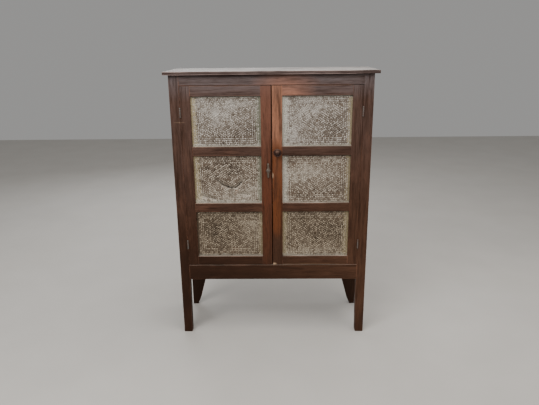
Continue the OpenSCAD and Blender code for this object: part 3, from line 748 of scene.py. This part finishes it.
NONE = (CHALK, 0, 0)
GREY_TINTS = (TIN_BROWN, TIN_GREY, OXIDE)
BEIGE_TINTS = (TIN_BROWN, (0.155, 0.112, 0.080), (0.47, 0.42, 0.35))
OLIVE_TINTS = ((0.055, 0.034, 0.019), (0.118, 0.082, 0.052), (0.38, 0.32, 0.24))
sheets = {
    "left_tin_top": (GREY_TINTS, 0.030, ((-0.02, 0, 0.03), (0.12, 0.1, 0.08)),
        ((0.02, 0, -0.05), (0.14, 0.1, 0.05)), ((0.3, 0, 0.3), (0.01, 0.1, 0.01)),
        ((CREAM, 0.85, 0.030), (VERDIGRIS, 0.7, 0.030), (CHALK, 0.75, 0.012),
         (CHALK, 0.6, 0.012))),
    "left_tin_middle": (BEIGE_TINTS, 0.026, ((0.0, 0, -0.080), (0.16, 0.1, 0.050)),
        ((0.03, 0, 0.05), (0.14, 0.1, 0.05)), ((0.03, 0, -0.05), (0.05, 0.1, 0.02)),
        ((CREAM, 0.8, 0.034), (VERDIGRIS, 0.65, 0.026), NONE, (CHALK, 0.7, 0.016))),
    "left_tin_bottom": (OLIVE_TINTS, 0.026, ((0.11, 0, 0.03), (0.07, 0.1, 0.05)),
        ((-0.08, 0, 0.0), (0.10, 0.1, 0.09)), ((-0.01, 0, -0.07), (0.04, 0.1, 0.03)),
        (NONE, (CREAM, 0.35, 0.024), NONE, (CHALK, 0.45, 0.010))),
    "right_tin_top": (GREY_TINTS, 0.052, ((-0.10, 0, 0.05), (0.12, 0.1, 0.10)),
        ((0.06, 0, -0.04), (0.10, 0.1, 0.06)), ((0.3, 0, 0.3), (0.01, 0.1, 0.01)),
        ((CHALK, 0.9, 0.032), (CREAM, 0.55, 0.026), (CHALK, 0.7, 0.014),
         (CHALK, 0.6, 0.012))),
    "right_tin_middle": (BEIGE_TINTS, 0.028, ((-0.03, 0, 0.03), (0.11, 0.1, 0.07)),
        ((0.04, 0, -0.06), (0.14, 0.1, 0.04)), ((0.3, 0, 0.3), (0.01, 0.1, 0.01)),
        ((CHALK, 0.8, 0.034), (CREAM, 0.5, 0.026), NONE, (CHALK, 0.45, 0.010))),
    "right_tin_bottom": (OLIVE_TINTS, 0.036, ((0.0, 0, -0.10), (0.10, 0.1, 0.03)),
        ((0.03, 0, 0.02), (0.12, 0.1, 0.05)), ((0.1, 0, 0.09), (0.03, 0.1, 0.02)),
        ((CREAM, 0.55, 0.026), (CREAM, 0.6, 0.030), NONE, (CHALK, 0.45, 0.012))),
}
CRUMPLED = [[(-0.052, -0.008, 0), (-0.031, -0.028, 0), (0.003, -0.043, 0),
             (0.039, -0.044, 0), (0.060, -0.026, 0), (0.070, -0.013, 0)],
            [(0.016, -0.044, 0), (0.018, -0.100, 0)],
            [(0.063, -0.077, 0), (0.108, -0.082, 0)],
            [(-0.131, -0.089, 0), (-0.074, -0.105, 0)]]
SLIGHT = [[(-0.09, 0.03, 0), (-0.02, 0.055, 0)], [(0.05, -0.06, 0), (0.11, -0.02, 0)]]
for seed, (name, (tints, level, bright, dull, rust, edges)) in enumerate(sheets.items()):
    low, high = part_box(name)
    middle = (low + high) / 2
    middle.y = low.y
    wide, tall = high.x - low.x, high.z - low.z
    crumpled = name == "left_tin_middle"
    creases = edge_mesh(name + "_creases", CRUMPLED if crumpled else SLIGHT)
    finish = tinplate(name + "_finish", middle, tints, level, bright, dull,
                      edge_tints(*edges), rust, CRUMPLED if crumpled else ())
    rows = edge_mesh(name + "_rows", punch_rows(wide / 2 - LAP, tall / 2 - LAP))
    piece = grown(punched_tin, rows, name + "_punched", {
        "Width": wide, "Height": tall, "Thickness": high.y - low.y,
        "Spacing": HOLE_SPACING, "Hole radius": HOLE_RADIUS, "Burr": burr,
        "Creases": creases, "Crease depth": CRUMPLE_DEPTH if crumpled else SLIGHT_DEPTH,
        "Buckle": BUCKLE, "Seed": seed + 3, "Tin": finish})
    bpy.data.objects.remove(creases)
    piece.data.transform(Matrix.Translation(middle) @ Matrix.Rotation(math.pi / 2, 4, "X"))
    smoothed(piece.data, 32)
    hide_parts(name)
    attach(piece, "left_door" if name.startswith("left") else "right_door")
bpy.data.objects.remove(burr)

# ---- The hinges ----
# Four cast butt hinges: leaves let into the stiles and posts, with their knuckles proud of
# the front, turning on loose pins. The iron is brown with rust and bright where it rubs.
def old_iron(name, steel, rust, rusted, polish=0.42):
    """Blackened iron, pitted and rusted by so much, brighter on its high spots."""
    made, tree, shader, place = finish_named(name)
    cloud = cloudy(tree, place, 140.0, 5.0, 0.65)
    pits = cloudy(tree, place, 620.0, 4.0)
    amount = node(tree, "ShaderNodeMapRange", {"Value": cloud, "From Min": 0.62 - rusted,
                  "From Max": 0.78 - rusted})
    colour = mix(tree, steps(tree, pits, (0.35, 0.0), (0.65, 1.0)),
                 toned(steel, 0.6), toned(steel, 1.3))
    colour = mix(tree, maths(tree, amount, 0.85), colour, rust)
    tree.links.new(colour, shader.inputs["Base Color"])
    tree.links.new(steps(tree, amount, (0.0, 0.85), (1.0, 0.15)),
                   shader.inputs["Metallic"])
    tree.links.new(node(tree, "ShaderNodeMapRange", {"Value": amount, "To Min": polish,
                   "To Max": 0.8}), shader.inputs["Roughness"])
    height = maths(tree, maths(tree, cloud, 0.6), maths(tree, pits, 0.4), "ADD")
    roughened(tree, shader, height, 0.5, 0.0006)
    return made

IRON = (0.20, 0.185, 0.175)
IRON_RUST = (0.115, 0.050, 0.026)
hinge_iron = old_iron("hinge_iron", IRON, IRON_RUST, 0.18)
pin_iron = old_iron("pin_iron", (0.42, 0.40, 0.38), IRON_RUST, 0.06, polish=0.34)
for name in ("left_case_leaves", "left_door_leaves", "right_case_leaves",
             "right_door_leaves", "left_hinge_pins", "right_hinge_pins"):
    for place in nodes[name].material_slots:
        place.material = pin_iron if name.endswith("pins") else hinge_iron

# ---- The screws, nails and tacks ----
# Slotted iron screws through the hinge leaves, the turn button and the knob, cut nails
# through the top board, and tacks that hold each tin in its rabbet. Each was driven by
# hand, so its slot or hammered head has a turn of its own.
def rod(name, profile, sides, slot=None, dented=0.0):
    """A solid turned about Z from (radius, height) pairs, with a slot across its top."""
    shape = bmesh.new()
    rings = [[shape.verts.new((r * math.cos(a), r * math.sin(a), h))
              for a in (2 * math.pi * k / sides for k in range(sides))]
             for r, h in profile]
    for above, below in zip(rings, rings[1:]):
        for k in range(sides):
            shape.faces.new((above[k], below[k], below[(k + 1) % sides],
                             above[(k + 1) % sides]))
    shape.faces.new(rings[0])
    shape.faces.new(rings[-1][::-1])
    for v in rings[0] + rings[1]:
        v.co.xy *= 1 + dented * noise.noise(v.co * 900)
        v.co.z -= dented * 0.002 * abs(noise.noise(v.co * 1300))
    bmesh.ops.recalc_face_normals(shape, faces=shape.faces)
    made = set_down(name, shape)
    if slot:
        wide, deep = slot
        blade = bmesh.new()
        bmesh.ops.create_cube(blade, size=1, matrix=Matrix.Diagonal(
            (profile[1][0] * 3, wide, deep * 2, 1)))
        cutter = set_down(name + "_blade", blade)
        cut = made.modifiers.new("slot", "BOOLEAN")
        cut.operation, cut.object, cut.solver = "DIFFERENCE", cutter, "EXACT"
        bpy.context.view_layer.update()
        graph = bpy.context.evaluated_depsgraph_get()
        made.data = bpy.data.meshes.new_from_object(made.evaluated_get(graph))
        made.modifiers.clear()
        bpy.data.objects.remove(cutter)
    return made

def solids(name):
    """The boxes of a CAD node's separate solids, in a fixed order."""
    shape = bmesh.new()
    shape.from_mesh(nodes[name].data)
    bmesh.ops.remove_doubles(shape, verts=shape.verts, dist=0.00001)
    boxes, waiting = [], set(shape.verts)
    while waiting:
        group, rim = [], [waiting.pop()]
        while rim:
            group.append(rim.pop())
            for edge in group[-1].link_edges:
                other = edge.other_vert(group[-1])
                if other in waiting:
                    waiting.remove(other)
                    rim.append(other)
        boxes.append([Vector([pick(v.co[k] for v in group) for k in range(3)])
                      for pick in (min, max)])
    shape.free()
    return sorted(boxes, key=lambda box: tuple(round(c, 4) for c in box[0]))

tree, asked, given = new_tree("driven_heads", (
    ("Points", "Geometry"), ("Fastener", "Object"), ("Seed", "Int"), ("Iron", "Material")))
want = asked.outputs
facing = node(tree, "GeometryNodeInputNamedAttribute", {"Name": "facing"},
              data_type="FLOAT_VECTOR")
aimed = node(tree, "FunctionNodeAlignRotationToVector", {"Vector": facing}, axis="Z")
turn = node(tree, "FunctionNodeRandomValue", {0: (0, 0, 0), 1: (0, 0, 6.28),
            8: want["Seed"]}, data_type="FLOAT_VECTOR")
aimed = node(tree, "FunctionNodeRotateRotation", {"Rotation": aimed, "Rotate By": turn},
             rotation_space="LOCAL")
dots = node(tree, "GeometryNodeMeshToPoints", {"Mesh": want["Points"]})
shape = node(tree, "GeometryNodeObjectInfo", {"Object": want["Fastener"]}, "Geometry")
heads = node(tree, "GeometryNodeInstanceOnPoints", {"Points": dots, "Instance": shape,
             "Rotation": aimed})
heads = node(tree, "GeometryNodeRealizeInstances", {"Geometry": heads})
heads = node(tree, "GeometryNodeSetMaterial", {"Geometry": heads,
             "Material": want["Iron"]})
tree.links.new(heads, given.inputs[0])
driven_heads = tree

screw_iron = old_iron("screw_iron", IRON, IRON_RUST, 0.12)
nail_iron = old_iron("nail_iron", (0.12, 0.10, 0.09), (0.090, 0.036, 0.018), 0.28)
hinge_screw = rod("hinge_screw", [(0.0032, 0), (0.0033, -0.0004), (0.0017, -0.0026),
                  (0.0015, -0.0120), (0.0003, -0.0140)], 18, (0.0008, 0.0009))
button_screw = rod("button_screw", [(0.0018, 0), (0.0036, -0.0007), (0.0045, -0.0022),
                   (0.0045, -0.0030), (0.0019, -0.0032), (0.0018, -0.0290),
                   (0.0004, -0.0314)], 24, (0.0010, 0.0014))
pull_screw = rod("pull_screw", [(0.0041, 0), (0.0042, -0.0004), (0.0022, -0.0030),
                 (0.0020, -0.0410), (0.0006, -0.0440)], 24, (0.0010, 0.0012))
cut_nail = rod("cut_nail", [(0.0026, -0.0001), (0.0033, -0.0005), (0.0033, -0.0012),
                            (0.0014, -0.0014), (0.0008, -0.0440)], 11, None, 0.35)
tack = rod("tack", [(0.0014, 0), (0.0023, -0.0003), (0.0024, -0.0007), (0.0008, -0.0008),
                    (0.0002, -0.0090)], 9, None, 0.30)
for seed, (name, body, fastener, iron, facing) in enumerate((
        ("top_nails", "case", cut_nail, nail_iron, (0, 0, 1)),
        ("left_tin_tacks", "left_door", tack, nail_iron, (0, 1, 0)),
        ("right_tin_tacks", "right_door", tack, nail_iron, (0, 1, 0)),
        ("case_hinge_screws", "case", hinge_screw, screw_iron, (-1, 0, 0)),
        ("left_door_hinge_screws", "left_door", hinge_screw, screw_iron, (1, 0, 0)),
        ("right_door_hinge_screws", "right_door", hinge_screw, screw_iron, (1, 0, 0)),
        ("turn_button_screw", "left_door", button_screw, screw_iron, (0, -1, 0)),
        ("knob_screw", "right_door", pull_screw, screw_iron, (0, 1, 0)))):
    tops, ways = [], []
    for low, high in solids(name):
        middle = (low + high) / 2
        way = Vector(facing)
        if way.x:
            way *= 1 if middle.x > 0 else -1
        tops.append([high[k] if way[k] > 0.5 else low[k] if way[k] < -0.5 else middle[k]
                     for k in range(3)])
        ways += list(way)
    points = bpy.data.meshes.new(name + "_tops")
    points.from_pydata(tops, [], [])
    aims = points.attributes.new("facing", "FLOAT_VECTOR", "POINT")
    aims.data.foreach_set("vector", ways)
    piece = grown(driven_heads, put_in(name + "_tops", points), name + "_driven",
                  {"Fastener": fastener, "Seed": seed + 20, "Iron": iron})
    smoothed(piece.data, 35)
    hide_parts(name)
    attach(piece, body)
for used in (hinge_screw, button_screw, pull_screw, cut_nail, tack):
    bpy.data.objects.remove(used)

# ---- The knob ----
# A turned hardwood pull on the right door, screwed on from inside: a short neck, a raised
# rim, a groove, and a low dome in the middle that hands have polished nearly black.
KNOB_SIDES = 56
KNOB_PROFILE = ((0.0, 0.0), (0.62, 0.0), (0.64, 0.04), (0.55, 0.12), (0.50, 0.22),
                (0.54, 0.34), (0.74, 0.46), (0.92, 0.55), (0.99, 0.64), (1.0, 0.70),
                (0.985, 0.76), (0.93, 0.81), (0.86, 0.835), (0.79, 0.825), (0.73, 0.785),
                (0.69, 0.77), (0.65, 0.785), (0.60, 0.84), (0.52, 0.895), (0.40, 0.95),
                (0.26, 0.985), (0.12, 0.998), (0.0, 1.0))
low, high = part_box("knob")
centre = (low + high) / 2
radius, reach = (high.x - low.x) / 2, high.y - low.y
shape = bmesh.new()
ring_of = []
for r, d in KNOB_PROFILE:
    y = high.y - d * reach
    count = KNOB_SIDES if r else 1
    ring_of.append([shape.verts.new((centre.x + r * radius * math.cos(a), y,
                                     centre.z + r * radius * math.sin(a)))
                    for a in (2 * math.pi * k / KNOB_SIDES for k in range(count))])
for inner, outer in zip(ring_of, ring_of[1:]):
    for k in range(KNOB_SIDES):
        j = (k + 1) % KNOB_SIDES
        corners = [inner[k % len(inner)], inner[j % len(inner)],
                   outer[j % len(outer)], outer[k % len(outer)]]
        shape.faces.new(list(dict.fromkeys(corners)))
bmesh.ops.recalc_face_normals(shape, faces=shape.faces)
knob_piece = set_down("knob_turned", shape)
for face in knob_piece.data.polygons:
    face.use_smooth = True
knob_finish = timber("polished_knob", 1, (0.034, 0.016, 0.014), (0.085, 0.045, 0.038),
                     (((centre.x, low.y, centre.z + 0.013), (0.014, 0.02, 0.010),
                       (0.16, 0.095, 0.070), 0.6, 0.5),), dust_and_top_light=0.0, sheen=0.24)
knob_piece.data.materials.append(knob_finish)
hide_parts("knob")
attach(knob_piece, "right_door")

# ---- The turn button ----
# A cast iron bar with a swelling in the middle, on one screw in the left door. It stands
# upright out of the way here, and turns a quarter to lie across the right door's edge.
SECTIONS = 44
ROUND = 20
low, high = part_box("turn_button")
centre = (low + high) / 2
half_long, half_wide, thick = ((high.z - low.z) / 2, (high.x - low.x) / 2, high.y - low.y)
shape = bmesh.new()
loops = []
for i in range(SECTIONS):
    t = -math.cos(math.pi * (i + 0.5) / SECTIONS)
    swell = math.exp(-(t / 0.23) ** 2)
    tip = math.sqrt(max(0.0, 1 - max(0.0, (abs(t) - 0.88) / 0.12) ** 2))
    broad = half_wide * ((0.44 + 0.05 * abs(t)) * (1 - swell) + swell) * tip
    proud = thick * (0.70 * (1 - swell) + 0.98 * swell) * (0.35 + 0.65 * tip)
    loop = []
    for k in range(ROUND):
        a = 2 * math.pi * k / ROUND
        side, rise = math.cos(a), math.sin(a)
        lift = 0.45 + 0.55 * math.copysign(abs(rise) ** 0.75, rise)
        if rise < 0:
            lift = 0.45 * (1 - abs(rise) ** 0.4)
        across_by = math.copysign(abs(side) ** 0.8, side)
        loop.append(shape.verts.new((centre.x + broad * across_by, high.y - proud * lift,
                                     centre.z + half_long * t)))
    loops.append(loop)
for one, other in zip(loops, loops[1:]):
    for k in range(ROUND):
        j = (k + 1) % ROUND
        shape.faces.new((one[k], one[j], other[j], other[k]))
shape.faces.new(loops[0])
shape.faces.new(loops[-1][::-1])
bmesh.ops.recalc_face_normals(shape, faces=shape.faces)
button_piece = set_down("turn_button_cast", shape)
smoothed(button_piece.data, 60)
button_piece.data.materials.append(old_iron(
    "button_iron", (0.16, 0.135, 0.11), (0.085, 0.048, 0.028), 0.16, polish=0.36))
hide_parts("turn_button")
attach(button_piece, "latch")
